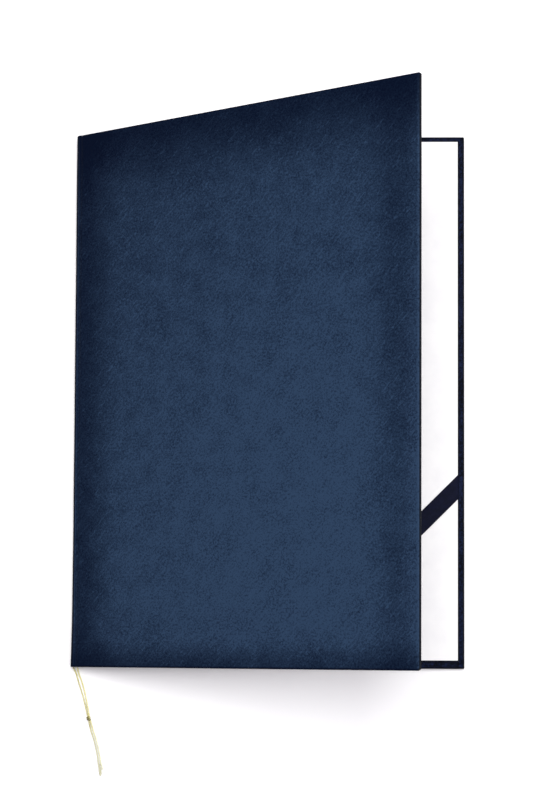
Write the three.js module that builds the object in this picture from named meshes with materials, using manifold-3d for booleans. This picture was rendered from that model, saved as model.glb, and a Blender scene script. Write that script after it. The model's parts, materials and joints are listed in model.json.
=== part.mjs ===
// A congratulation folder: two leatherette-covered boards joined by a soft rounded spine, white lining
// sheets inside, a ribbon across the lower free corner of the back cover, and a gold cord that is looped
// round the spine and knotted below it. It lies on its back cover with the front cover ajar.
// Millimetres. X runs from the spine to the free edge, Y from the bottom edge to the top edge, Z up.
// The origin lies under the middle of the shut folder's outline, on the table.

import * as THREE from "three";
import { mergeVertices } from "three/addons/utils/BufferGeometryUtils.js";
import Module from "manifold-3d";

// Covers
const coverWidth = 221;
const coverHeight = 310;
const cornerRadius = 1.5;
const edgeRounding = 0.6;
const leatherThickness = 0.5;
const boardThickness = 2;
const glueLine = 0.05;
const turnInWidth = 15;
const openAngle = THREE.MathUtils.degToRad(31);

// Lining sheets, and the leatherette margins that they leave bare
const liningThickness = 0.25;
const marginFree = 3.8;
const marginTop = 3;
const marginBottom = 4.8;
const marginSpine = 5;

// Corner ribbon: its middle line crosses the lining's two edges this far from the lining's corner
const ribbonWidth = 10;
const ribbonThickness = 0.25;
const ribbonReach = 100;

// Spine: the hinge axis lies outside the covers' spine edges by creaseOffset. The fold is pushed out by
// spineFlare at its bottom end.
const creaseOffset = 1.5;
const shutClearance = 0.3;
const spineFlare = 1;
const spineFlareStart = 10;
const spineSteps = 12;

// Gold cord
const cordDiameter = 0.9;
const cordClearance = 0.05;
const cordSides = 8;
const cordTurnRadius = 1.95;
const cordJointGap = 0.3;
const knotLength = 3.4;
const knotWidth = 2.6;

// Heights above the table, worked out from the layers
const coverThickness = 2 * leatherThickness + boardThickness + 2 * glueLine;
const liningBottomZ = coverThickness + glueLine;
const liningTopZ = liningBottomZ + liningThickness;
const ribbonBottomZ = liningTopZ + glueLine;
const ribbonTopZ = ribbonBottomZ + ribbonThickness;
const shutThickness = ribbonTopZ + shutClearance + liningTopZ;
const hingeZ = shutThickness / 2;
const cordRadius = cordDiameter / 2;
const bottomY = -coverHeight / 2;
const topY = coverHeight / 2;

const wasm = await Module();
wasm.setup();

function solidOf(geometry) {
  const bare = geometry.clone();
  bare.deleteAttribute("normal");
  bare.deleteAttribute("uv");
  const merged = mergeVertices(bare, 1e-5);
  return new wasm.Manifold(
    new wasm.Mesh({
      numProp: 3,
      vertProperties: merged.attributes.position.array,
      triVerts: new Uint32Array(merged.index.array),
    }),
  );
}

function geometryOf(solid) {
  const mesh = solid.getMesh();
  const geometry = new THREE.BufferGeometry();
  geometry.setAttribute("position", new THREE.BufferAttribute(mesh.vertProperties, 3));
  geometry.setIndex(new THREE.BufferAttribute(mesh.triVerts, 1));
  geometry.computeVertexNormals();
  return geometry;
}

function namedMesh(name, geometry, material) {
  const mesh = new THREE.Mesh(geometry, material);
  mesh.name = name;
  return mesh;
}

// Materials
const leatherette = new THREE.MeshStandardMaterial({ color: 0x1b2f4d, roughness: 0.55, metalness: 0 });
const greyboard = new THREE.MeshStandardMaterial({ color: 0x8d8a82, roughness: 0.95, metalness: 0 });
const whitePaper = new THREE.MeshStandardMaterial({ color: 0xf6f6f4, roughness: 0.8, metalness: 0 });
const satinRibbon = new THREE.MeshStandardMaterial({ color: 0x10162e, roughness: 0.4, metalness: 0 });
const goldThread = new THREE.MeshStandardMaterial({ color: 0xd9c36a, roughness: 0.35, metalness: 0.6 });

// A box given by its lowest and highest corner
function boxBetween(low, high) {
  const size = high.clone().sub(low);
  const box = new THREE.BoxGeometry(size.x, size.y, size.z);
  box.translate(low.x + size.x / 2, low.y + size.y / 2, low.z + size.z / 2);
  return box;
}

function roundedRectangle(width, height, radius) {
  const [x, y] = [width / 2, height / 2];
  const outline = new THREE.Shape();
  outline.absarc(x - radius, y - radius, radius, 0, Math.PI / 2);
  outline.absarc(radius - x, y - radius, radius, Math.PI / 2, Math.PI);
  outline.absarc(radius - x, radius - y, radius, Math.PI, 1.5 * Math.PI);
  outline.absarc(x - radius, radius - y, radius, 1.5 * Math.PI, 2 * Math.PI);
  return outline;
}

// The covers are laid out flat, with the hinge axis over x = 0 and the inner face up. side is 1 for the
// back cover, which runs to +X, and -1 for the front cover.
const coverMiddle = (side) => side * (creaseOffset + coverWidth / 2);

// Leatherette wrapped round a board: full outer face and edges, and turn-ins round the inner face
function skinGeometry(side) {
  const slab = new THREE.ExtrudeGeometry(roundedRectangle(coverWidth, coverHeight, cornerRadius), {
    depth: coverThickness - 2 * edgeRounding,
    bevelEnabled: true,
    bevelThickness: edgeRounding,
    bevelSize: edgeRounding,
    bevelOffset: -edgeRounding,
    bevelSegments: 3,
    curveSegments: 4,
  });
  slab.translate(0, 0, edgeRounding);
  const halfBoard = new THREE.Vector2(coverWidth / 2 - leatherThickness, coverHeight / 2 - leatherThickness);
  const pocket = boxBetween(
    new THREE.Vector3(-halfBoard.x, -halfBoard.y, leatherThickness),
    new THREE.Vector3(halfBoard.x, halfBoard.y, coverThickness - leatherThickness),
  );
  const window = boxBetween(
    new THREE.Vector3(turnInWidth - coverWidth / 2, turnInWidth - coverHeight / 2, coverThickness / 2),
    new THREE.Vector3(coverWidth / 2 - turnInWidth, coverHeight / 2 - turnInWidth, 2 * coverThickness),
  );
  const skin = solidOf(slab).subtract(solidOf(pocket)).subtract(solidOf(window));
  return geometryOf(skin).translate(coverMiddle(side), 0, 0);
}

function boardGeometry(side) {
  const inset = leatherThickness + glueLine;
  const half = new THREE.Vector2(coverWidth / 2 - inset, coverHeight / 2 - inset);
  return boxBetween(
    new THREE.Vector3(coverMiddle(side) - half.x, -half.y, inset),
    new THREE.Vector3(coverMiddle(side) + half.x, half.y, inset + boardThickness),
  );
}

// The lining's reach in plan, in the flat layout
function liningPlan(side) {
  const nearX = creaseOffset + marginSpine;
  const farX = creaseOffset + coverWidth - marginFree;
  return {
    lowX: side > 0 ? nearX : -farX,
    highX: side > 0 ? farX : -nearX,
    lowY: bottomY + marginBottom,
    highY: topY - marginTop,
  };
}

function liningGeometry(side) {
  const plan = liningPlan(side);
  return boxBetween(
    new THREE.Vector3(plan.lowX, plan.lowY, liningBottomZ),
    new THREE.Vector3(plan.highX, plan.highY, liningTopZ),
  );
}

// The ribbon runs at 45 degrees over the back lining's lower free corner and laps down over its two edges
function ribbonGeometry() {
  const plan = liningPlan(1);
  const lap = glueLine + ribbonThickness;
  const halfLength = ribbonReach;
  const strap = new THREE.BoxGeometry(2 * halfLength, ribbonWidth, ribbonTopZ - liningBottomZ);
  strap.rotateZ(Math.PI / 4);
  strap.translate(plan.highX - ribbonReach / 2, plan.lowY + ribbonReach / 2, (ribbonTopZ + liningBottomZ) / 2);
  const lapped = boxBetween(
    new THREE.Vector3(plan.lowX, plan.lowY - lap, 0),
    new THREE.Vector3(plan.highX + lap, plan.highY, 2 * ribbonTopZ),
  );
  const sheet = boxBetween(
    new THREE.Vector3(plan.lowX - lap, plan.lowY - glueLine, 0),
    new THREE.Vector3(plan.highX + glueLine, plan.highY + lap, ribbonBottomZ),
  );
  return geometryOf(solidOf(strap).intersect(solidOf(lapped)).subtract(solidOf(sheet)));
}

// How far the fold is pushed out at a height y: it swells towards its bottom end
function flareAt(y) {
  const share = THREE.MathUtils.clamp((spineFlareStart - y) / (spineFlareStart - bottomY), 0, 1);
  return spineFlare * share ** 2;
}

// A leatherette layer of the rounded spine. Its outer face is outerRadius from the hinge axis, and its
// short flat legs end at the two covers' edges.
function foldGeometry(outerRadius) {
  const innerRadius = outerRadius - leatherThickness;
  const legEnd = creaseOffset - glueLine;
  const onFront = (x, z) => new THREE.Vector2(x, z).rotateAround(new THREE.Vector2(), openAngle);
  const frontEnd = openAngle + Math.PI / 2;
  const backEnd = 1.5 * Math.PI;
  const section = new THREE.Shape();
  section.moveTo(legEnd, -outerRadius);
  section.absarc(0, 0, outerRadius, backEnd, frontEnd, true);
  section.lineTo(...onFront(legEnd, outerRadius));
  section.lineTo(...onFront(legEnd, innerRadius));
  section.absarc(0, 0, innerRadius, frontEnd, backEnd, false);
  section.lineTo(legEnd, -innerRadius);
  const fold = new THREE.ExtrudeGeometry(section, {
    depth: coverHeight,
    steps: spineSteps,
    bevelEnabled: false,
    curveSegments: 12,
  });
  fold.rotateX(Math.PI / 2);
  fold.translate(0, topY, 0);
  const place = fold.attributes.position;
  for (let i = 0; i < place.count; i++) {
    const pushed = Math.max(0, -place.getX(i)) / hingeZ;
    place.setX(i, place.getX(i) - flareAt(place.getY(i)) * pushed);
  }
  return fold.translate(0, 0, hingeZ);
}

// A cord's tube through hand-chosen points, with its steps shared evenly between the points, so that
// points set close together make a tight bend smooth
function cordGeometry(points, stepsPerPoint) {
  const route = new THREE.CatmullRomCurve3(points, false, "centripetal");
  route.getUtoTmapping = (u) => u;
  const corner = (i) => {
    const angle = ((i + 0.5) * 2 * Math.PI) / cordSides;
    return new THREE.Vector2(cordRadius * Math.cos(angle), cordRadius * Math.sin(angle));
  };
  const section = new THREE.Shape(Array.from({ length: cordSides }, (_, i) => corner(i)));
  return new THREE.ExtrudeGeometry(section, {
    steps: (points.length - 1) * stepsPerPoint,
    extrudePath: route,
    bevelEnabled: false,
  });
}

// Places along the cord, measured from the hinge axis across, from the folder's bottom edge down, and
// from the table up
const at = (x, below, z) => new THREE.Vector3(x, bottomY - below, z);
const cordTableZ = cordRadius + cordClearance;
const cordInsideZ = 2 * leatherThickness + glueLine + cordClearance + cordRadius;

// The held part: up the inside of the fold, round its top end and back down outside, under the bulge
function spineLoopPoints() {
  const inside = new THREE.Vector2(0.4, cordInsideZ);
  const turnDirection = new THREE.Vector2(-2 * cordTurnRadius, cordTableZ - cordInsideZ).normalize();
  const middle = inside.clone().addScaledVector(turnDirection, cordTurnRadius);
  const turnY = topY - 0.8;
  const points = [
    new THREE.Vector3(-0.5, bottomY, cordInsideZ),
    new THREE.Vector3(0, bottomY + 12, cordInsideZ),
    new THREE.Vector3(0, -60, cordInsideZ),
    new THREE.Vector3(0, 60, cordInsideZ),
    new THREE.Vector3(inside.x, topY - 12, cordInsideZ),
  ];
  const turnPoints = 8;
  for (let i = 0; i <= turnPoints; i++) {
    const angle = (i * Math.PI) / turnPoints;
    const across = middle.clone().addScaledVector(turnDirection, -cordTurnRadius * Math.cos(angle));
    points.push(new THREE.Vector3(across.x, turnY + cordTurnRadius * Math.sin(angle), across.y));
  }
  const besideFold = (y, extra) => {
    const clear = hingeZ + cordRadius + cordClearance;
    const tucked = Math.sqrt(clear ** 2 - (hingeZ - cordTableZ) ** 2);
    return new THREE.Vector3(-tucked - extra - flareAt(y), y, cordTableZ);
  };
  points.push(besideFold(topY - 14, 0.4));
  points.push(besideFold(90, 0.15));
  points.push(besideFold(20, 0.15));
  points.push(besideFold(-50, 1.2));
  points.push(besideFold(-95, 1.5));
  points.push(besideFold(-130, 1.3));
  points.push(besideFold(bottomY + 8, 0.5));
  points.push(new THREE.Vector3(-3.5, bottomY, cordTableZ));
  return points;
}

// The free ends. Each strand leaves the fold's bottom end, meets the other in the knot and goes on as a
// loose tail on the table.
const knotMiddle = at(6, 29.7, knotWidth / 2);
const outerStrand = [
  at(-3.4, cordJointGap, cordTableZ),
  at(-2.6, 1.6, cordTableZ),
  at(-1.5, 3.9, cordTableZ),
  at(-0.5, 7.4, cordTableZ),
  at(0.6, 10.9, cordTableZ),
  at(1.75, 14.4, cordTableZ),
  at(2.95, 18.4, cordTableZ),
  at(4, 22.4, cordTableZ),
  at(4.75, 25.4, cordTableZ + 0.2),
  at(5.4, 27.7, knotMiddle.z),
];
const innerStrand = [
  at(-0.8, cordJointGap, cordInsideZ + 0.2),
  at(-0.55, 1.6, cordInsideZ),
  at(0.05, 4, cordInsideZ - 0.5),
  at(1.2, 6.9, cordTableZ),
  at(2.4, 10.4, cordTableZ),
  at(3.5, 14.4, cordTableZ),
  at(4.35, 18.2, cordTableZ),
  at(5.1, 22, cordTableZ),
  at(5.75, 25, cordTableZ + 0.3),
  at(6.2, 27.4, knotMiddle.z + 0.4),
];
const longTail = [
  at(6.35, 31.8, knotMiddle.z),
  at(6.75, 34.3, cordTableZ),
  at(7.6, 37.5, cordTableZ),
  at(9.2, 42.1, cordTableZ),
  at(10.35, 46.7, cordTableZ),
  at(11.4, 51.9, cordTableZ),
  at(11.9, 55.9, cordTableZ),
  at(12.7, 59.4, cordTableZ),
  at(13.1, 62.8, cordTableZ),
];
const shortTail = [
  at(7.2, 31.6, knotMiddle.z - 0.1),
  at(7.95, 34.2, cordTableZ),
  at(8.9, 37.4, cordTableZ),
  at(10.45, 41.9, cordTableZ),
  at(11.6, 46.5, cordTableZ),
  at(12.65, 51.7, cordTableZ),
  at(13.4, 55.7, cordTableZ),
  at(14.3, 59, cordTableZ),
];

// The knot, a drop-shaped lump lying along the cord
function knotGeometry() {
  const knot = new THREE.SphereGeometry(0.5, 12, 8);
  knot.scale(knotWidth, knotLength, knotWidth * 0.9);
  knot.rotateZ(0.28);
  return knot.translate(knotMiddle.x, knotMiddle.y, knotMiddle.z);
}

// One cover with its board and lining, laid out flat on one side of the hinge axis
function coverMeshes(side, name) {
  return [
    namedMesh(`${name}_cover_skin`, skinGeometry(side), leatherette),
    namedMesh(`${name}_board`, boardGeometry(side), greyboard),
    namedMesh(`${name}_lining`, liningGeometry(side), whitePaper),
  ];
}

const backCover = new THREE.Group();
backCover.add(...coverMeshes(1, "back"));
backCover.add(namedMesh("corner_ribbon", ribbonGeometry(), satinRibbon));

// The front cover swings over from flat about the hinge axis until it stands openAngle off the back cover
const frontCover = new THREE.Group();
for (const mesh of coverMeshes(-1, "front")) {
  mesh.position.z = -hingeZ;
  frontCover.add(mesh);
}
frontCover.position.z = hingeZ;
frontCover.rotation.y = Math.PI - openAngle;

const spine = new THREE.Group();
spine.add(namedMesh("spine_fold", foldGeometry(hingeZ), leatherette));
spine.add(namedMesh("hinge_strip", foldGeometry(hingeZ - leatherThickness - glueLine), leatherette));

const cord = new THREE.Group();
cord.add(namedMesh("cord_spine_loop", cordGeometry(spineLoopPoints(), 3), goldThread));
cord.add(namedMesh("cord_outer_strand", cordGeometry(outerStrand, 2), goldThread));
cord.add(namedMesh("cord_inner_strand", cordGeometry(innerStrand, 2), goldThread));
cord.add(namedMesh("cord_knot", knotGeometry(), goldThread));
cord.add(namedMesh("cord_long_tail", cordGeometry(longTail, 2), goldThread));
cord.add(namedMesh("cord_short_tail", cordGeometry(shortTail, 2), goldThread));

// Everything above is laid out from the hinge axis at x = 0, and the whole folder is then centred on x
const freeEdgeX = creaseOffset + coverWidth;
const spineOuterX = -hingeZ - spineFlare;
const folder = new THREE.Group();
folder.add(backCover, frontCover, spine, cord);
folder.position.x = -(freeEdgeX + spineOuterX) / 2;

export default folder;
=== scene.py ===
# Looks of the congratulation folder: leatherette covers with burnished edges, painted shade and painted
# highlights, a soft rounded spine, white lining sheets, a satin corner ribbon and a twisted gold cord with
# painted shade between its strands. Metres, in the CAD model's frame.
import json
import math
import random

import bmesh
import bpy
from mathutils import Matrix, Vector, noise


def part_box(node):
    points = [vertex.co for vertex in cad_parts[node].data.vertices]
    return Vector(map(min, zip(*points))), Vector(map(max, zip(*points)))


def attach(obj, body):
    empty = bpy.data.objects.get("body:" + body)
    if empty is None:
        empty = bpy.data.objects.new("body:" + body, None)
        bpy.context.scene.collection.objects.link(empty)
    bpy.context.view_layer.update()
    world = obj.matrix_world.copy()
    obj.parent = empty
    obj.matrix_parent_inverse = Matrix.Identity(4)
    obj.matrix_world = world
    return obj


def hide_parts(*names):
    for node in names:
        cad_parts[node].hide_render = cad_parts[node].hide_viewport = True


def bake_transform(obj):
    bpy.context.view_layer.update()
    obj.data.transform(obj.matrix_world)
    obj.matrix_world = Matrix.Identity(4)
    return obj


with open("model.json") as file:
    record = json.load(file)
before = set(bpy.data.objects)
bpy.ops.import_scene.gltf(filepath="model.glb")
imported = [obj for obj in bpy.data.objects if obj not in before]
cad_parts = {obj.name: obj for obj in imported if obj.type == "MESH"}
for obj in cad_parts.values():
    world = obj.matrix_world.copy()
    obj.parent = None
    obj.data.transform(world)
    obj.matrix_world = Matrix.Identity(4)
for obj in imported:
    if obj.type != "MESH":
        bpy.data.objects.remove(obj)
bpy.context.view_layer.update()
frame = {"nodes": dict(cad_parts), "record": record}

MM = 0.001

# Places that the frame gives
JOINT = frame["record"]["behaviour"]["joints"][0]
HINGE = Vector(JOINT["pos_m"])
OPEN_ANGLE = -math.radians(JOINT["range_deg"][0])
SKIN_LOW, SKIN_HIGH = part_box("back_cover_skin")
LINING_LOW, LINING_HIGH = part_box("back_lining")
RIBBON_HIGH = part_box("corner_ribbon")[1]
COVER_WIDTH = SKIN_HIGH.x - SKIN_LOW.x
COVER_HEIGHT = SKIN_HIGH.y - SKIN_LOW.y
COVER_THICKNESS = SKIN_HIGH.z
CREASE = SKIN_LOW.x - HINGE.x
BOTTOM_Y = SKIN_LOW.y
TOP_Y = SKIN_HIGH.y

# Camera, fitted to the outlines in the photo: focal length in pixels, place, turns, and the frame's shift
PHOTO_HEIGHT = 800
SENSOR_WIDTH = 36
FOCAL_PIXELS = 1793
FRAME_SHIFT = 0.2
CAMERA_PLACE = Vector((0.0209, -0.1456, 1.0379))
CAMERA_TILT = math.radians(2.926)
CAMERA_PAN = math.radians(1.154)
CAMERA_ROLL = math.radians(0.229)

# Leatherette
LEATHER_THICKNESS = 0.5 * MM
TURN_IN = 15 * MM
EDGE_ROUNDING = 0.7 * MM
CORNER_RADIUS = 0.7 * MM
WORN_CORNER_RADIUS = 1.7 * MM
FACE_INSETS = (1.5, 3, 5, 8, 12, 17, 23, 30, 38, 47, 57, 68, 80, 92, 102)
MIDDLE_INSET = 108 * MM
POCKET_INSET = 60 * MM

# Soft spine: how far it bulges, how far its bottom end is pushed out, and where the push begins
SPINE_BULGE = 0.12 * MM
SPINE_FLARE = 0.8 * MM
SPINE_FLARE_START = 10 * MM
SPINE_FLARE_POWER = 6
SPINE_TURN_IN = 12 * MM
SPINE_EDGE_TUCK = 0.45 * MM

# Ribbon
RIBBON_WIDTH = 10 * MM
RIBBON_REACH = 100 * MM
RIBBON_THICKNESS = 0.25 * MM

# Gold cord
CORD_DIAMETER = 0.9 * MM
CORD_TABLE_Z = 0.5 * MM
CORD_INSIDE_Z = 1.55 * MM
CORD_TWIST_PITCH = 2.6 * MM
CORD_RING_SPACING = 0.28 * MM
KNOT_Z = 1.3 * MM


# Mesh helpers

def mesh_object(name, points, faces, smooth=True):
    mesh = bpy.data.meshes.new(name)
    mesh.from_pydata([tuple(p) for p in points], [], faces)
    shape = bmesh.new()
    shape.from_mesh(mesh)
    bmesh.ops.recalc_face_normals(shape, faces=shape.faces)
    shape.to_mesh(mesh)
    shape.free()
    for polygon in mesh.polygons:
        polygon.use_smooth = smooth
    piece = bpy.data.objects.new(name, mesh)
    bpy.context.scene.collection.objects.link(piece)
    return piece


def keep_place(piece, places):
    """Stores where each vertex lies on the flat sheet, so that the grain, the burnish and the painted shade
    and highlights follow it.
    """
    layer = piece.data.attributes.new("place", "FLOAT_VECTOR", "POINT")
    for i, place in enumerate(places):
        layer.data[i].vector = place


def bridge_rings(ring_count, ring_size, closed_loop=False):
    """Quads between neighbouring rings of points that are numbered ring after ring."""
    faces = []
    last = ring_count if closed_loop else ring_count - 1
    for k in range(last):
        for i in range(ring_size):
            a = k * ring_size + i
            b = k * ring_size + (i + 1) % ring_size
            c = (k + 1) % ring_count * ring_size + (i + 1) % ring_size
            d = (k + 1) % ring_count * ring_size + i
            faces.append((a, b, c, d))
    return faces


def smoothstep(x, low=0.0, high=1.0):
    t = min(max((x - low) / (high - low), 0.0), 1.0)
    return t * t * (3 - 2 * t)


# Places on the covers. u runs from the spine edge to the free edge, v up the cover from its middle, and t
# from the outer face to the inner face.

def on_back(u, v, t):
    return Vector((HINGE.x + CREASE + u, v, t))


def on_front(u, v, t):
    across = CREASE + u
    up = HINGE.z - t
    cos, sin = math.cos(OPEN_ANGLE), math.sin(OPEN_ANGLE)
    return Vector((HINGE.x + across * cos - up * sin, v, HINGE.z + across * sin + up * cos))


# Cover leather

def rounded_ring(inset, worn, side_steps=(24, 34), corner_steps=6):
    """Points (u, v) round a rounded rectangle that lies inset inside the cover's outline. The corner at the
    free edge's bottom end is rounder where it is worn."""
    half_u = COVER_WIDTH / 2 - inset
    half_v = COVER_HEIGHT / 2 - inset
    corners = ((1, 1), (-1, 1), (-1, -1), (1, -1))
    radii = [CORNER_RADIUS] * 3 + [WORN_CORNER_RADIUS if worn else CORNER_RADIUS]
    arcs = []
    for k, ((side_u, side_v), radius) in enumerate(zip(corners, radii)):
        radius = max(radius - inset, 0.25 * MM)
        centre = Vector((side_u * (half_u - radius), side_v * (half_v - radius)))
        angles = [(k + i / corner_steps) * math.pi / 2 for i in range(corner_steps + 1)]
        arcs.append([centre + radius * Vector((math.cos(a), math.sin(a))) for a in angles])
    ring = []
    for k, arc in enumerate(arcs):
        ring.extend(arc)
        end = arcs[(k + 1) % 4][0]
        steps = side_steps[k % 2]
        ring.extend(arc[-1].lerp(end, i / steps) for i in range(1, steps))
    return ring


def leather_profile():
    """Stations (inset, t) over the leather's section, from the turn-in's end round the edge to the middle of
    the outer face, and back through the pocket that holds the board."""
    t_in = COVER_THICKNESS
    skin = LEATHER_THICKNESS
    r = EDGE_ROUNDING
    stations = [(TURN_IN, t_in - 0.9 * skin), (TURN_IN - 0.1 * MM, t_in - 0.15 * skin)]
    stations += [(TURN_IN - 0.4 * MM, t_in)]
    stations += [(TURN_IN * share, t_in) for share in (0.85, 0.65, 0.45, 0.28, 0.15)]
    stations += rounded_edge(r, t_in, -1)
    stations += [(0.0, t_in / 2)]
    stations += rounded_edge(r, 0.0, 1)[::-1]
    stations += [(inset * MM, 0.0) for inset in FACE_INSETS]
    stations += [(MIDDLE_INSET, 0.0), (MIDDLE_INSET, skin), (POCKET_INSET, skin)]
    stations += [(skin, skin), (skin, t_in - skin), (TURN_IN, t_in - skin)]
    return stations


def rounded_edge(r, face_t, into):
    """Stations over a quarter round, from the face at face_t to the cover's side."""
    stations = []
    for i in range(6):
        angle = i / 5 * math.pi / 2
        stations.append((r * (1 - math.sin(angle)), face_t + into * r * (1 - math.cos(angle))))
    return stations


def cover_leather(name, place_of, seed, worn):
    stations = leather_profile()
    points, places = [], []
    for inset, t in stations:
        ring = rounded_ring(inset, worn)
        outer_face = t < 0.1 * MM
        inner_face = t > COVER_THICKNESS - 0.1 * MM
        for point in ring:
            u, v = point.x + COVER_WIDTH / 2, point.y
            depth = t
            if outer_face:
                depth += board_wave(u, v, seed) * smoothstep(inset, 0, 12 * MM)
            if inner_face and inset < TURN_IN - 0.2 * MM:
                depth -= mitre_groove(u, v)
            points.append(place_of(u, v, depth))
            places.append((u, v, t))
    size = len(points) // len(stations)
    faces = bridge_rings(len(stations), size, closed_loop=True)
    faces = fill_middle(faces, size, stations)
    piece = mesh_object(name, points, faces)
    keep_place(piece, places)
    return piece


def fill_middle(faces, size, stations):
    """Replaces the narrow wall between the outer face's last ring and the pocket's first one by two caps."""
    insets = [inset for inset, _ in stations]
    last_outer = insets.index(MIDDLE_INSET)
    wall = range(last_outer * size, (last_outer + 1) * size)
    kept = faces[:wall.start] + faces[wall.stop:]
    outer_cap = tuple(last_outer * size + i for i in range(size))
    pocket_cap = tuple((last_outer + 1) * size + i for i in reversed(range(size)))
    return kept + [outer_cap, pocket_cap]


def board_wave(u, v, seed):
    """Slow, shallow waves of the glued leather over the board."""
    slow = noise.noise(Vector((u * 14, v * 14, seed)))
    quick = noise.noise(Vector((u * 45, v * 45, seed + 7)))
    return (0.11 * (1 + slow) + 0.04 * (1 + quick)) * MM


def mitre_groove(u, v):
    """The fold line where two turn-ins meet at a corner, at 45 degrees."""
    from_side = min(u, COVER_WIDTH - u)
    from_end = COVER_HEIGHT / 2 - abs(v)
    return 0.22 * MM * (1 - smoothstep(abs(from_side - from_end), 0, 0.8 * MM))


# Soft spine

def flare_at(y):
    share = min(max((SPINE_FLARE_START - y) / (SPINE_FLARE_START - BOTTOM_Y), 0.0), 1.0)
    return SPINE_FLARE * share ** SPINE_FLARE_POWER


def fold_stations(leg, steps):
    """Angles and leg distances over the fold's section, from the back cover's edge to the front cover's."""
    back, front = 1.5 * math.pi, OPEN_ANGLE + math.pi / 2
    stations = [(back, leg * (1 - i / 4)) for i in range(4)]
    stations += [(back + (front - back) * i / steps, 0.0) for i in range(steps + 1)]
    stations += [(front, leg * (i + 1) / 4) for i in range(4)]
    return stations


def fold_point(angle, leg, radius, y):
    """A place on the fold at a distance from the hinge axis; leg runs on straight from the round part."""
    back = angle > 1.4 * math.pi
    along = Vector((1, 0)) if back else Vector((math.cos(OPEN_ANGLE), math.sin(OPEN_ANGLE)))
    flat = Vector((math.cos(angle), math.sin(angle))) * radius + along * leg
    pushed = max(0.0, -flat.x) / HINGE.z
    return Vector((HINGE.x + flat.x - (SPINE_BULGE + flare_at(y)) * pushed, y, HINGE.z + flat.y))


def spine_piece(name, outer_radius, thickness, fold_in, short, slack, seed):
    """A layer of the soft spine, short of the covers' ends by short. Near its ends it is thicker by a
    positive fold_in, or lies deeper by a negative one. Slack waves sink into it and never rise out of it."""
    leg = CREASE - 0.06 * MM
    stations = fold_stations(leg, 28)
    rows = 150
    points, places, outer, inner = [], [], [], []
    for j in range(rows + 1):
        share = j / rows
        y = BOTTOM_Y + short + (COVER_HEIGHT - 2 * short) * (0.5 - 0.5 * math.cos(math.pi * share))
        from_end = min(y - BOTTOM_Y, TOP_Y - y) - short
        folded = 1 - smoothstep(from_end + short, SPINE_TURN_IN - 0.6 * MM, SPINE_TURN_IN)
        end_round = math.sqrt(max(0.0, 1 - max(0.0, 1 - from_end / (0.6 * MM)) ** 2))
        ring_outer, ring_inner = [], []
        for i, (angle, along) in enumerate(stations):
            near_edge = smoothstep(along, leg * 0.45, leg)
            wave = noise.noise(Vector((i * 0.33, y * 26, seed))) * (1 - near_edge)
            radius = outer_radius - slack * (1 - near_edge + wave) - SPINE_EDGE_TUCK * near_edge
            wall = thickness + max(fold_in, 0.0) * folded
            middle = radius - wall / 2 + min(fold_in, 0.0) * folded
            half = wall / 2 * (0.35 + 0.65 * end_round)
            ring_outer.append(fold_point(angle, along, middle + half, y))
            ring_inner.append(fold_point(angle, along, middle - half, y))
        reach = [0.0]
        for a, b in zip(ring_outer[::-1], ring_outer[-2::-1]):
            reach.append(reach[-1] + (b - a).length)
        row = [(-along, y, 0.0) for along in reversed(reach)]
        points.extend(ring_outer + ring_inner[::-1])
        places.extend(row + row[::-1])
    size = 2 * len(stations)
    faces = bridge_rings(rows + 1, size)
    faces.append(tuple(reversed(range(size))))
    faces.append(tuple(rows * size + i for i in range(size)))
    piece = mesh_object(name, points, faces)
    keep_place(piece, places)
    return piece


# Corner ribbon

def ribbon_piece(name):
    """A satin band laid at 45 degrees over the lining's corner, with its two ends lapped over the edges."""
    corner = Vector((LINING_HIGH.x, LINING_LOW.y))
    middle = corner + Vector((-RIBBON_REACH / 2, RIBBON_REACH / 2))
    along, across = Vector((1, 1)).normalized(), Vector((-1, 1)).normalized()
    lap = RIBBON_HIGH.x - LINING_HIGH.x
    columns, rows = 180, 16
    low_z, top_z = COVER_THICKNESS + 0.06 * MM, RIBBON_HIGH.z
    root = math.sqrt(2)
    upper, lower, places = [], [], []
    for i in range(columns + 1):
        share = smoothstep(i / columns) * 0.5 + i / columns * 0.5
        for j in range(rows + 1):
            b = RIBBON_WIDTH * (j / rows - 0.5)
            right_end = (corner.x + lap - middle.x) * root + b
            bottom_end = (corner.y - lap - middle.y) * root - b
            a = bottom_end + (right_end - bottom_end) * share
            spot = middle + along * a + across * b
            from_edge = min(corner.x + lap - spot.x, spot.y - corner.y + lap)
            rise = math.sqrt(1 - (1 - min(max(from_edge / (0.5 * MM), 0), 1)) ** 2)
            bow = 0.16 * MM * math.sin(math.pi * share) ** 0.6
            crimp = 0.05 * MM * noise.noise(Vector((a * 90, b * 260, 3))) * smoothstep(from_edge, 0, 2 * MM)
            edge = 0.06 * MM * smoothstep(abs(b), RIBBON_WIDTH * 0.44, RIBBON_WIDTH * 0.5)
            z = low_z + RIBBON_THICKNESS + (top_z - low_z - RIBBON_THICKNESS) * rise + bow + crimp - edge
            upper.append(Vector((spot.x, spot.y, z)))
            lower.append(Vector((spot.x, spot.y, z - RIBBON_THICKNESS + 2 * edge)))
            places.append((a, b, 0.0))
    return closed_sheet(name, upper, lower, columns + 1, rows + 1, places)


def closed_sheet(name, upper, lower, rows, columns, places):
    """A thin closed body from two grids of points, numbered row after row."""
    count = rows * columns
    faces = []
    for i in range(rows - 1):
        for j in range(columns - 1):
            a = i * columns + j
            quad = (a, a + columns, a + columns + 1, a + 1)
            faces.append(quad)
            faces.append(tuple(count + k for k in reversed(quad)))
    rim = [j for j in range(columns)]
    rim += [i * columns + columns - 1 for i in range(1, rows)]
    rim += [(rows - 1) * columns + j for j in reversed(range(columns - 1))]
    rim += [i * columns for i in reversed(range(1, rows - 1))]
    for a, b in zip(rim, rim[1:] + rim[:1]):
        faces.append((a, b, count + b, count + a))
    piece = mesh_object(name, upper + lower, faces)
    keep_place(piece, places + places)
    return piece


# Gold cord

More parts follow.
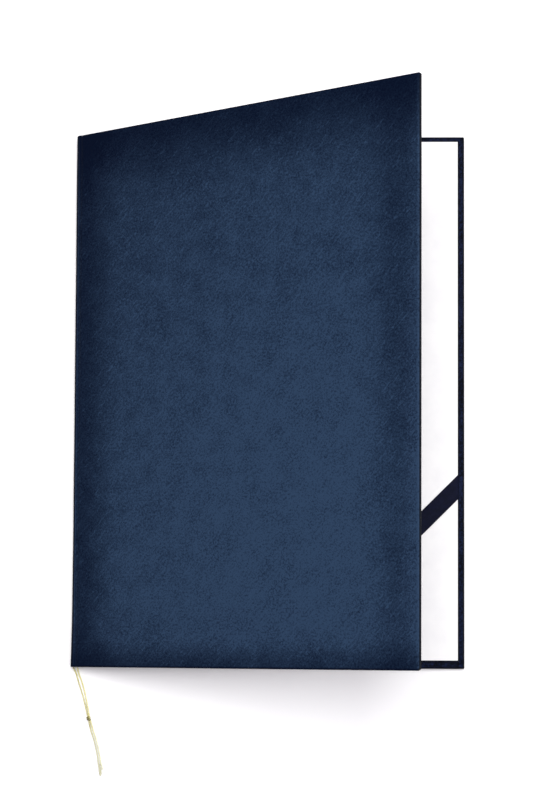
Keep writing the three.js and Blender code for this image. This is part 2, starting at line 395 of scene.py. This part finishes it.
def catmull_rom(points, steps):
    """A smooth line through the points, with a centripetal Catmull-Rom curve as in the CAD model."""
    ends = [points[0] * 2 - points[1]] + list(points) + [points[-1] * 2 - points[-2]]
    line = []
    for i in range(len(points) - 1):
        p0, p1, p2, p3 = ends[i:i + 4]
        gaps = [max((b - a).length ** 0.5, 1e-6) for a, b in ((p0, p1), (p1, p2), (p2, p3))]
        m1 = ((p1 - p0) / gaps[0] - (p2 - p0) / (gaps[0] + gaps[1]) + (p2 - p1) / gaps[1]) * gaps[1]
        m2 = ((p2 - p1) / gaps[1] - (p3 - p1) / (gaps[1] + gaps[2]) + (p3 - p2) / gaps[2]) * gaps[1]
        for k in range(steps):
            s = k / steps
            line.append(
                p1 * (2 * s ** 3 - 3 * s ** 2 + 1)
                + m1 * (s ** 3 - 2 * s ** 2 + s)
                + p2 * (3 * s ** 2 - 2 * s ** 3)
                + m2 * (s ** 3 - s ** 2)
            )
    line.append(points[-1].copy())
    return line


def even_line(line, spacing):
    """The same line with its points an equal distance apart."""
    reach = [0.0]
    for a, b in zip(line, line[1:]):
        reach.append(reach[-1] + (b - a).length)
    count = max(2, round(reach[-1] / spacing))
    even, k = [], 0
    for i in range(count + 1):
        goal = reach[-1] * i / count
        while k < len(line) - 2 and reach[k + 1] < goal:
            k += 1
        share = (goal - reach[k]) / max(reach[k + 1] - reach[k], 1e-9)
        even.append(line[k].lerp(line[k + 1], min(max(share, 0.0), 1.0)))
    return even


def tube_shape(line, section, turn_per_point=0.0, ends=1.0):
    """Points and faces of a closed tube along a line. section holds the radius all round, and it turns as it
    goes along."""
    sides = len(section)
    points = []
    normal = None
    for i, place in enumerate(line):
        ahead = line[min(i + 1, len(line) - 1)] - line[max(i - 1, 0)]
        ahead.normalize()
        if normal is None:
            normal = ahead.orthogonal().normalized()
        normal = (normal - ahead * normal.dot(ahead)).normalized()
        side = ahead.cross(normal)
        size = ends if i in (0, len(line) - 1) else 1.0
        for k, radius in enumerate(section):
            angle = 2 * math.pi * k / sides + turn_per_point * i
            points.append(place + (normal * math.cos(angle) + side * math.sin(angle)) * radius * size)
    faces = bridge_rings(len(line), sides)
    faces.append(tuple(reversed(range(sides))))
    faces.append(tuple((len(line) - 1) * sides + k for k in range(sides)))
    return points, faces


def plied_section(diameter, plies=3, sides=18):
    """The outline of a cord laid from a few plies."""
    radius = diameter / 2
    angles = [2 * math.pi * k / sides for k in range(sides)]
    return [radius * (0.8 + 0.2 * abs(math.cos(plies * a / 2))) for a in angles]


def cord_tube(name, line):
    line = even_line(line, CORD_RING_SPACING)
    turn = 2 * math.pi * CORD_RING_SPACING / CORD_TWIST_PITCH
    return mesh_object(name, *tube_shape(line, plied_section(CORD_DIAMETER), turn, ends=0.6))


def at(x, below, z):
    """A place by the spine's bottom end: across from the hinge axis, down from the bottom edge, and up."""
    return Vector((HINGE.x + x, BOTTOM_Y - below, z))


OUTER_ROUTE = [
    at(-0.0034, 0.0003, CORD_TABLE_Z),
    at(-0.0026, 0.0016, CORD_TABLE_Z),
    at(-0.0015, 0.0039, CORD_TABLE_Z),
    at(-0.0005, 0.0074, CORD_TABLE_Z),
    at(0.0006, 0.0109, CORD_TABLE_Z),
    at(0.00175, 0.0144, CORD_TABLE_Z),
    at(0.00295, 0.0184, CORD_TABLE_Z),
    at(0.004, 0.0224, CORD_TABLE_Z),
    at(0.00475, 0.0254, CORD_TABLE_Z + 0.0002),
    at(0.0054, 0.0277, KNOT_Z),
    at(0.00635, 0.0318, KNOT_Z),
    at(0.00675, 0.0343, CORD_TABLE_Z),
    at(0.0076, 0.0375, CORD_TABLE_Z),
    at(0.0092, 0.0421, CORD_TABLE_Z),
    at(0.01035, 0.0467, CORD_TABLE_Z),
    at(0.0114, 0.0519, CORD_TABLE_Z),
    at(0.0119, 0.0559, CORD_TABLE_Z),
    at(0.0127, 0.0594, CORD_TABLE_Z),
    at(0.0131, 0.0628, CORD_TABLE_Z),
]
INNER_ROUTE = [
    at(-0.0008, 0.0003, CORD_INSIDE_Z + 0.0002),
    at(-0.00055, 0.0016, CORD_INSIDE_Z),
    at(0.00005, 0.004, CORD_INSIDE_Z - 0.0005),
    at(0.0012, 0.0069, CORD_TABLE_Z),
    at(0.0024, 0.0104, CORD_TABLE_Z),
    at(0.0035, 0.0144, CORD_TABLE_Z),
    at(0.00435, 0.0182, CORD_TABLE_Z),
    at(0.0051, 0.022, CORD_TABLE_Z),
    at(0.00575, 0.025, CORD_TABLE_Z + 0.0003),
    at(0.0062, 0.0274, KNOT_Z + 0.0004),
    at(0.0072, 0.0316, KNOT_Z - 0.0001),
    at(0.00795, 0.0342, CORD_TABLE_Z),
    at(0.0089, 0.0374, CORD_TABLE_Z),
    at(0.01045, 0.0419, CORD_TABLE_Z),
    at(0.0116, 0.0465, CORD_TABLE_Z),
    at(0.01265, 0.0517, CORD_TABLE_Z),
    at(0.0134, 0.0557, CORD_TABLE_Z),
    at(0.0143, 0.059, CORD_TABLE_Z),
]
KNOT_MIDDLE = at(0.006, 0.0297, KNOT_Z)


def spine_loop_line():
    """The held part of the cord: up inside the fold, round its top end and down outside, under the bulge."""
    turn_radius = 1.95 * MM
    inside = Vector((0.4 * MM, CORD_INSIDE_Z))
    direction = Vector((-2 * turn_radius, CORD_TABLE_Z - CORD_INSIDE_Z)).normalized()
    middle = inside + direction * turn_radius
    heights = [(-0.5 * MM, BOTTOM_Y), (0.0, BOTTOM_Y + 12 * MM), (0.0, -60 * MM), (0.0, 60 * MM)]
    heights.append((inside.x, TOP_Y - 12 * MM))
    points = [Vector((HINGE.x + x, y, CORD_INSIDE_Z)) for x, y in heights]
    for i in range(9):
        angle = i * math.pi / 8
        across = middle - direction * turn_radius * math.cos(angle)
        y = TOP_Y - 0.8 * MM + turn_radius * math.sin(angle)
        points.append(Vector((HINGE.x + across.x, y, across.y)))
    clear = HINGE.z + CORD_TABLE_Z
    tucked = math.sqrt(clear ** 2 - (HINGE.z - CORD_TABLE_Z) ** 2)
    beside = [(TOP_Y - 14 * MM, 0.45), (90 * MM, 0.4), (20 * MM, 0.4), (-50 * MM, 0.8)]
    beside += [(-95 * MM, 0.85), (-130 * MM, 0.75), (BOTTOM_Y + 8 * MM, 0.5)]
    for y, extra in beside:
        points.append(Vector((HINGE.x - tucked - extra * MM - flare_at(y), y, CORD_TABLE_Z)))
    points.append(Vector((HINGE.x - 3.5 * MM, BOTTOM_Y, CORD_TABLE_Z)))
    return catmull_rom(points, 24)


def knot_line():
    """An overhand wrap pulled tight round the two strands, with one crossing over its back."""
    wrap_radius = 0.86 * MM
    turns, length = 2.25, 2.3 * MM
    lean = 0.28
    line = []
    steps = 90
    for i in range(steps + 1):
        share = i / steps
        angle = 2 * math.pi * turns * share
        y = length * (0.5 - share)
        line.append(Vector((wrap_radius * math.cos(angle), y, wrap_radius * 0.9 * math.sin(angle))))
    end, start = line[-1], line[0]
    for i in range(1, 24):
        share = i / 24
        rise = 0.55 * MM * math.sin(math.pi * share)
        back = end.lerp(start, share)
        line.append(Vector((back.x * (1 - 0.3 * math.sin(math.pi * share)), back.y, abs(back.z) + rise)))
    turned = Matrix.Rotation(lean, 3, "Z")
    return [KNOT_MIDDLE + turned @ p for p in line]


def fray(name, line, count, seed):
    """Loose fibres over the cord's last stretch, spread a little more towards its cut end."""
    chance = random.Random(seed)
    line = even_line(line, 0.5 * MM)
    vertices, faces = [], []
    for _ in range(count):
        first = len(line) - chance.randint(12, 30)
        last = len(line) - chance.randint(1, 6)
        aside = chance.gauss(0, 0.75) * MM
        waver = chance.uniform(0, 2 * math.pi)
        fibre = []
        for k in range(first, last):
            share = (k - first) / max(last - 1 - first, 1)
            ahead = (line[k] - line[k - 1]).normalized()
            across = Vector((-ahead.y, ahead.x, 0))
            swing = 0.12 * MM * math.sin(waver + 5 * share)
            lift = Vector((0, 0, 0.25 * MM * math.cos(waver + 3 * share)))
            fibre.append(line[k] + across * (aside * share ** 1.5 + swing) + lift)
        fibre_points, fibre_faces = tube_shape(fibre, [0.08 * MM] * 5, ends=0.5)
        faces += [tuple(len(vertices) + k for k in face) for face in fibre_faces]
        vertices += fibre_points
    return mesh_object(name, vertices, faces)


# Materials

class Nodes:
    """Short helper to lay out a material's nodes."""

    def __init__(self, name):
        self.material = bpy.data.materials.new(name)
        self.material.use_nodes = True
        self.tree = self.material.node_tree
        self.shader = self.tree.nodes["Principled BSDF"]

    def add(self, kind, inputs=None, **settings):
        node = self.tree.nodes.new(kind)
        for key, value in settings.items():
            setattr(node, key, value)
        for key, value in (inputs or {}).items():
            if isinstance(value, bpy.types.NodeSocket):
                self.tree.links.new(value, node.inputs[key])
            else:
                node.inputs[key].default_value = value
        return node

    def link(self, source, socket):
        self.tree.links.new(source, self.shader.inputs[socket])

    def maths(self, operation, a, b=0.0):
        return self.add("ShaderNodeMath", {0: a, 1: b}, operation=operation).outputs[0]

    def vector_maths(self, operation, inputs):
        return self.add("ShaderNodeVectorMath", inputs, operation=operation).outputs[0]

    def between(self, value, low, high, to_low=0.0, to_high=1.0, smooth=True):
        inputs = {"Value": value, "From Min": low, "From Max": high, "To Min": to_low, "To Max": to_high}
        kind = "SMOOTHSTEP" if smooth else "LINEAR"
        return self.add("ShaderNodeMapRange", inputs, interpolation_type=kind, clamp=smooth).outputs["Result"]

    def noise(self, vector, scale, detail=2.0, roughness=0.5, distortion=0.0):
        inputs = {"Vector": vector, "Scale": scale, "Detail": detail, "Roughness": roughness}
        inputs["Distortion"] = distortion
        return self.add("ShaderNodeTexNoise", inputs)

    def mix(self, factor, a, b, blend="MIX"):
        node = self.add("ShaderNodeMix", data_type="RGBA", blend_type=blend)
        for index, value in ((0, factor), (6, a), (7, b)):
            if isinstance(value, bpy.types.NodeSocket):
                self.tree.links.new(value, node.inputs[index])
            else:
                node.inputs[index].default_value = value
        return node.outputs[2]

    def bump(self, height, distance, strength=1.0, normal=None):
        inputs = {"Height": height, "Distance": distance, "Strength": strength}
        if normal is not None:
            inputs["Normal"] = normal
        return self.add("ShaderNodeBump", inputs).outputs["Normal"]


def colour(red, green, blue):
    """A linear colour from display values of 0 to 255."""
    def linear(value):
        value /= 255
        return value / 12.92 if value <= 0.04045 else ((value + 0.055) / 1.055) ** 2.4
    return (linear(red), linear(green), linear(blue), 1.0)


def leatherette_material():
    """Navy leatherette: fine creased grain, brushed strokes, burnished edges, painted shade on the edges and
    side faces, and painted highlights along the free edge and on the spine.
    """
    nodes = Nodes("navy_leatherette")
    place = nodes.add("ShaderNodeAttribute", attribute_name="place").outputs["Vector"]
    grain, bumps = leather_grain(nodes, place)
    tone = nodes.maths("MULTIPLY", burnish_and_painted_light(nodes, place), grain)
    deepest, body = colour(0, 8, 29), colour(40, 59, 83)
    outer = nodes.mix(nodes.between(tone, 0.1, 1.0, smooth=False), deepest, body)
    depth = nodes.add("ShaderNodeSeparateXYZ", {0: place}).outputs["Z"]
    # Painted shade: the covers' side faces and edge roundings are darkened to near black.
    side = nodes.between(depth, 0.12 * MM, 0.6 * MM)
    outer = nodes.mix(side, outer, colour(3, 8, 18))
    inner = nodes.mix(turned_in_grain_and_shade(nodes, place, grain), colour(0, 2, 8), colour(17, 26, 54))
    inside = nodes.between(depth, COVER_THICKNESS - 0.12 * MM, COVER_THICKNESS - 0.01 * MM)
    nodes.link(nodes.mix(inside, outer, inner), "Base Color")
    nodes.link(nodes.between(grain, 0.7, 1.3, 0.62, 0.48), "Roughness")
    nodes.link(bumps, "Normal")
    nodes.shader.inputs["Specular IOR Level"].default_value = 0.04
    return nodes.material


def burnish_and_painted_light(nodes, place):
    """How bright the leather is against a cover's middle: darker edges that are partly real burnish and
    partly painted shade, with painted highlights as lighter lines along the free edge and on the spine beside
    the crease."""
    wander = nodes.noise(place, 45, 3).outputs["Color"]
    pushed = nodes.vector_maths("SUBTRACT", {0: wander, 1: (0.5, 0.5, 0.5)})
    pushed = nodes.vector_maths("SCALE", {0: pushed, "Scale": 8 * MM})
    uneven = nodes.vector_maths("ADD", {0: place, 1: pushed})
    exact = nodes.add("ShaderNodeSeparateXYZ", {0: place}).outputs
    loose = nodes.add("ShaderNodeSeparateXYZ", {0: uneven}).outputs
    from_free = nodes.maths("SUBTRACT", COVER_WIDTH, exact["X"])
    from_top = nodes.maths("SUBTRACT", COVER_HEIGHT / 2, loose["Y"])
    from_bottom = nodes.maths("ADD", COVER_HEIGHT / 2, exact["Y"])
    top_line = nodes.maths("SUBTRACT", COVER_HEIGHT / 2, exact["Y"])
    # Each band: a distance, where it begins and ends in millimetres, and the brightness at both
    # Painted light among the bands: the short dark bands by the spine side, the top and the bottom are partly
    # burnish and partly painted shade. The long fades from the spine side and from the top, the dip 12 to 42
    # mm in from the free edge, the thin dark lines along the top and bottom edges, and the near-black line
    # where the spine turns down are painted shade. The lighter bands along the free edge and on the spine
    # beside the crease are painted highlights. The long band from the bottom only darkens towards the bottom.
    bands = (
        (loose["X"], 1, 34, 0.38, 1.0), (exact["X"], 0, 150, 0.8, 1.0),
        (from_top, 0, 50, 0.28, 1.0), (from_top, 20, 240, 0.7, 1.0),
        (from_bottom, 1, 18, 0.45, 1.0), (from_bottom, 0, 40, 0.85, 1.0),
        (from_bottom, 0.4, 1.6, 0.3, 1.0), (top_line, 0.3, 1.2, 0.4, 1.0),
        (from_free, 12, 42, 0.62, 1.0), (from_free, 1.5, 10, 1.3, 1.0), (from_free, 1.0, 1.7, 1.45, 1.0),
        (exact["X"], -1.7, -1.1, 1.9, 1.0), (exact["X"], -2.6, -2.1, 0.05, 1.0),
    )
    tone = 1.0
    for distance, low, high, at_low, at_high in bands:
        tone = nodes.maths("MULTIPLY", tone, nodes.between(distance, low * MM, high * MM, at_low, at_high))
    return tone


def turned_in_grain_and_shade(nodes, place, grain):
    """How bright the turned-in margin is: its grain, with painted shade along its fold and along the lining's
    edge.
    """
    parts = nodes.add("ShaderNodeSeparateXYZ", {0: place}).outputs
    from_free = nodes.maths("SUBTRACT", COVER_WIDTH, parts["X"])
    from_end = nodes.maths("SUBTRACT", COVER_HEIGHT / 2, nodes.maths("ABSOLUTE", parts["Y"]))
    from_edge = nodes.maths("MINIMUM", nodes.maths("MINIMUM", from_free, parts["X"]), from_end)
    # Painted shade where the turn-in rounds over its fold.
    past_fold = nodes.between(from_edge, 0.5 * MM, 1.3 * MM)
    tone = nodes.maths("MULTIPLY", nodes.between(grain, 0.7, 1.3), past_fold)
    # Painted shade towards the lining's edge.
    return nodes.maths("MULTIPLY", tone, nodes.between(from_edge, 2.3 * MM, 3.7 * MM, 1.0, 0.3))


def leather_grain(nodes, place):
    """The grain's brightness about 1, and its bumps."""
    patches = nodes.noise(place, 40, 3, 0.6).outputs["Fac"]
    clouds = nodes.noise(place, 90, 4, 0.6).outputs["Fac"]
    fine = nodes.noise(place, 950, 2, 0.7, 0.4).outputs["Fac"]
    turn = (0, 0, math.radians(-45))
    slant = nodes.add("ShaderNodeMapping", {"Vector": place, "Rotation": turn}).outputs[0]
    drawn = nodes.add("ShaderNodeMapping", {"Vector": slant, "Scale": (0.18, 1, 1)}).outputs[0]
    strokes = nodes.noise(drawn, 800, 2, 0.6, 0.3).outputs["Fac"]
    bent = nodes.noise(place, 300, 2).outputs["Color"]
    bent = nodes.vector_maths("SCALE", {0: bent, "Scale": 3 * MM})
    bent = nodes.vector_maths("ADD", {0: place, 1: bent})
    cells = nodes.add("ShaderNodeTexVoronoi", {"Vector": bent, "Scale": 420.0}, feature="DISTANCE_TO_EDGE")
    creases = nodes.between(cells.outputs["Distance"], 0.0, 0.22, 1.0, 0.0)
    creased = nodes.maths("MULTIPLY", creases, nodes.between(patches, 0.4, 0.66, 0.2, 1.0))

    grain = nodes.between(fine, 0.3, 0.7, 0.6, 1.4)
    grain = nodes.maths("MULTIPLY", grain, nodes.between(clouds, 0.3, 0.7, 0.88, 1.12))
    grain = nodes.maths("MULTIPLY", grain, nodes.between(strokes, 0.55, 0.72, 0.97, 1.6))
    grain = nodes.maths("MULTIPLY", grain, nodes.between(strokes, 0.3, 0.42, 0.84, 1.0))
    grain = nodes.maths("MULTIPLY", grain, nodes.between(creased, 0.0, 1.0, 1.03, 0.76))
    bumps = nodes.bump(fine, 0.1 * MM, 0.7)
    bumps = nodes.bump(creased, 0.05 * MM, -0.6, bumps)
    return grain, bumps


def board_material():
    """Grey bookbinding board with flecks of pulp."""
    nodes = Nodes("grey_board")
    place = nodes.add("ShaderNodeTexCoord").outputs["Object"]
    flecks = nodes.noise(place, 900, 4, 0.7).outputs["Fac"]
    pulp = nodes.mix(nodes.between(flecks, 0.35, 0.65), colour(128, 124, 116), colour(160, 156, 148))
    nodes.link(pulp, "Base Color")
    nodes.link(nodes.bump(flecks, 0.05 * MM), "Normal")
    nodes.shader.inputs["Roughness"].default_value = 0.95
    return nodes.material


def paper_material():
    """Smooth white lining paper with a faint fibre."""
    nodes = Nodes("white_lining_paper")
    place = nodes.add("ShaderNodeTexCoord").outputs["Object"]
    cloud = nodes.noise(place, 60, 3, 0.6).outputs["Fac"]
    drawn = nodes.add("ShaderNodeMapping", {"Vector": place, "Scale": (1, 0.25, 1)}).outputs[0]
    fibre = nodes.noise(drawn, 1800, 4, 0.65).outputs["Fac"]
    base = nodes.mix(nodes.between(cloud, 0.3, 0.7), colour(226, 226, 226), colour(231, 231, 230))
    base = nodes.mix(nodes.between(fibre, 0.55, 0.8, 0.0, 0.2), base, colour(218, 218, 220))
    nodes.link(base, "Base Color")
    nodes.link(nodes.bump(fibre, 0.02 * MM, 0.4), "Normal")
    nodes.shader.inputs["Roughness"].default_value = 0.75
    nodes.shader.inputs["Specular IOR Level"].default_value = 0.25
    return nodes.material


def ribbon_material():
    """Very dark navy satin with fine crosswise ribs and a firmer woven edge."""
    nodes = Nodes("navy_satin_ribbon")
    place = nodes.add("ShaderNodeAttribute", attribute_name="place").outputs["Vector"]
    parts = nodes.add("ShaderNodeSeparateXYZ", {0: place}).outputs
    ribs = nodes.maths("SINE", nodes.maths("MULTIPLY", parts["X"], 2 * math.pi / (0.42 * MM)))
    threads = nodes.maths("SINE", nodes.maths("MULTIPLY", parts["Y"], 2 * math.pi / (0.25 * MM)))
    weave = nodes.maths("ADD", ribs, nodes.maths("MULTIPLY", threads, 0.4))
    uneven = nodes.noise(place, 320, 3, 0.6).outputs["Fac"]
    selvedge = nodes.between(nodes.maths("ABSOLUTE", parts["Y"]), 4.3 * MM, 4.8 * MM)
    base = nodes.mix(nodes.between(uneven, 0.3, 0.7), colour(3, 6, 26), colour(10, 14, 38))
    base = nodes.mix(nodes.between(weave, -1.2, 1.2, 0.35, 0.0), base, colour(1, 3, 14))
    nodes.link(nodes.mix(nodes.maths("MULTIPLY", selvedge, 0.6), base, colour(3, 5, 22)), "Base Color")
    nodes.link(nodes.between(weave, -1.2, 1.2, 0.55, 0.36), "Roughness")
    nodes.link(nodes.bump(weave, 0.03 * MM, 0.7), "Normal")
    nodes.shader.inputs["Specular IOR Level"].default_value = 0.06
    return nodes.material


def gold_material(name, painted_strand_shade, painted_gap_shade):
    """Pale gold metallised thread: fine strands with painted shade as olive lines between them and olive
    patches for the shade in the gaps, paler towards the cut ends.
    """
    nodes = Nodes(name)
    place = nodes.add("ShaderNodeTexCoord").outputs["Object"]
    strands = nodes.noise(place, 5200, 3, 0.7).outputs["Fac"]
    patches = nodes.noise(place, 600, 2, 0.5).outputs["Fac"]
    base = nodes.mix(nodes.between(patches, 0.3, 0.7), colour(226, 218, 146), colour(250, 246, 196))
    height = nodes.add("ShaderNodeSeparateXYZ", {0: place}).outputs["Y"]
    tail = nodes.between(height, KNOT_MIDDLE.y - 16 * MM, KNOT_MIDDLE.y, 0.8, 0.0)
    base = nodes.mix(tail, base, colour(242, 244, 220))
    # Painted shade: olive lines along the strands stand for the shade between them.
    base = nodes.mix(nodes.between(strands, 0.42, 0.66, painted_strand_shade, painted_strand_shade + 0.35), base, colour(128, 122, 62))
    # Painted shade: olive patches stand for the shade in the gaps between strands and wraps, more of them on
    # the knot.
    gaps = nodes.between(patches, 0.74 - painted_gap_shade, 0.84 - painted_gap_shade, 0.0, 0.85)
    nodes.link(nodes.mix(gaps, base, colour(104, 98, 40)), "Base Color")
    nodes.link(nodes.between(strands, 0.3, 0.7, 0.3, 0.5), "Roughness")
    nodes.link(nodes.bump(strands, 0.04 * MM, 0.8), "Normal")
    nodes.shader.inputs["Metallic"].default_value = 0.35
    return nodes.material


def table_material():
    nodes = Nodes("white_table")
    nodes.shader.inputs["Base Color"].default_value = (0.93, 0.93, 0.93, 1.0)
    nodes.shader.inputs["Roughness"].default_value = 0.9
    nodes.shader.inputs["Specular IOR Level"].default_value = 0.0
    return nodes.material


def wear(piece, material):
    piece.data.materials.clear()
    piece.data.materials.append(material)


# Stage: a white table under an even studio sky with a faint magenta cast

TABLE_HALF_WIDTH = 12
TABLE_DROP = 0.02 * MM
SKY_COLOUR = (1.0, 0.94, 1.03, 1.0)
SKY_STRENGTH = 0.45


def camera():
    data = bpy.data.cameras.new("camera")
    data.sensor_fit = "AUTO"
    data.sensor_width = SENSOR_WIDTH
    data.lens = FOCAL_PIXELS / PHOTO_HEIGHT * SENSOR_WIDTH
    data.shift_y = FRAME_SHIFT
    data.clip_start, data.clip_end = 0.05, 20
    eye = bpy.data.objects.new("camera", data)
    eye.location = CAMERA_PLACE
    eye.rotation_mode = "ZYX"
    eye.rotation_euler = (CAMERA_TILT, CAMERA_PAN, CAMERA_ROLL)
    bpy.context.scene.collection.objects.link(eye)
    bpy.context.scene.camera = eye


def area_light(name, place, target, size, power):
    data = bpy.data.lights.new(name, "AREA")
    data.shape = "SQUARE"
    data.size = size
    data.energy = power
    lamp = bpy.data.objects.new(name, data)
    lamp.location = place
    lamp.rotation_mode = "QUATERNION"
    lamp.rotation_quaternion = (Vector(target) - Vector(place)).to_track_quat("-Z", "Y")
    bpy.context.scene.collection.objects.link(lamp)


def surroundings():
    bpy.context.scene.view_settings.view_transform = "Standard"
    world = bpy.data.worlds.new("studio")
    world.use_nodes = True
    world.node_tree.nodes["Background"].inputs["Color"].default_value = SKY_COLOUR
    world.node_tree.nodes["Background"].inputs["Strength"].default_value = SKY_STRENGTH
    bpy.context.scene.world = world
    area_light("overhead_softbox", (0.0, 0.5, 2.2), (0, 0, 0), 1.1, 34)
    area_light("ceiling_panel", (1.1, 0.0, 2.5), (0, 0, 0), 4.0, 47)
    half = TABLE_HALF_WIDTH
    corners = [(-half, -half, 0), (half, -half, 0), (half, half, 0), (-half, half, 0)]
    table = mesh_object("table", corners, [(0, 1, 2, 3)], smooth=False)
    table.location.z = -TABLE_DROP
    wear(table, table_material())


camera()

# The three gold materials are copies that differ in painted shade: the outer strand carries more olive lines
# for the shade between the strands, and the knot's wraps carry olive patches for the shade in their crevices.
pale_gold = gold_material("gold_thread_pale", 0.08, 0.0)
gold = gold_material("gold_thread", 0.3, 0.0)
knot_gold = gold_material("gold_thread_knotted", 0.3, 0.4)
knot_shape = tube_shape(even_line(knot_line(), 0.2 * MM), plied_section(0.82 * MM, 3, 12), 0.5, ends=0.6)
knot = mesh_object("cord_knot_wraps", *knot_shape)
outer_line = catmull_rom(OUTER_ROUTE, 12)
inner_line = catmull_rom(INNER_ROUTE, 12)
outer_cord = cord_tube("cord_outer_twisted", outer_line)
inner_cord = cord_tube("cord_inner_twisted", inner_line)
outer_fray = fray("cord_outer_fray", outer_line, 20, 5)
inner_fray = fray("cord_inner_fray", inner_line, 14, 8)
held_cord = cord_tube("cord_held_round_spine", spine_loop_line())
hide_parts("cord_outer_strand", "cord_long_tail")
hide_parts("cord_inner_strand", "cord_short_tail")
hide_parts("cord_spine_loop")
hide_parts("cord_knot")
for cord_piece in (knot, outer_cord, inner_cord, outer_fray, inner_fray, held_cord):
    wear(cord_piece, {knot: knot_gold, outer_cord: gold, outer_fray: gold}.get(cord_piece, pale_gold))
    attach(cord_piece, "back_cover")

leather = leatherette_material()
back_leather = cover_leather("back_cover_leather", on_back, 3, worn=False)
front_leather = cover_leather("front_cover_leather", on_front, 11, worn=True)
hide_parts("back_cover_skin")
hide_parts("front_cover_skin")
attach(back_leather, "back_cover")
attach(front_leather, "front_cover")

outer_spine = spine_piece("soft_spine", HINGE.z, LEATHER_THICKNESS, 0.2 * MM, 0.0, 0.1 * MM, 21)
inner_spine = spine_piece(
    "spine_inner_strip", HINGE.z - 0.6 * MM, 0.3 * MM, -0.15 * MM, 2 * MM, 0.04 * MM, 34,
)
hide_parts("spine_fold")
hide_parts("hinge_strip")
for spine_part in (outer_spine, inner_spine):
    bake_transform(spine_part)
for leather_piece in (back_leather, front_leather, outer_spine, inner_spine):
    wear(leather_piece, leather)

ribbon = ribbon_piece("corner_ribbon_band")
wear(ribbon, ribbon_material())
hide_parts("corner_ribbon")
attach(ribbon, "back_cover")

for node in ("back_lining", "front_lining"):
    wear(frame["nodes"][node], paper_material())
for node in ("back_board", "front_board"):
    wear(frame["nodes"][node], board_material())

surroundings()
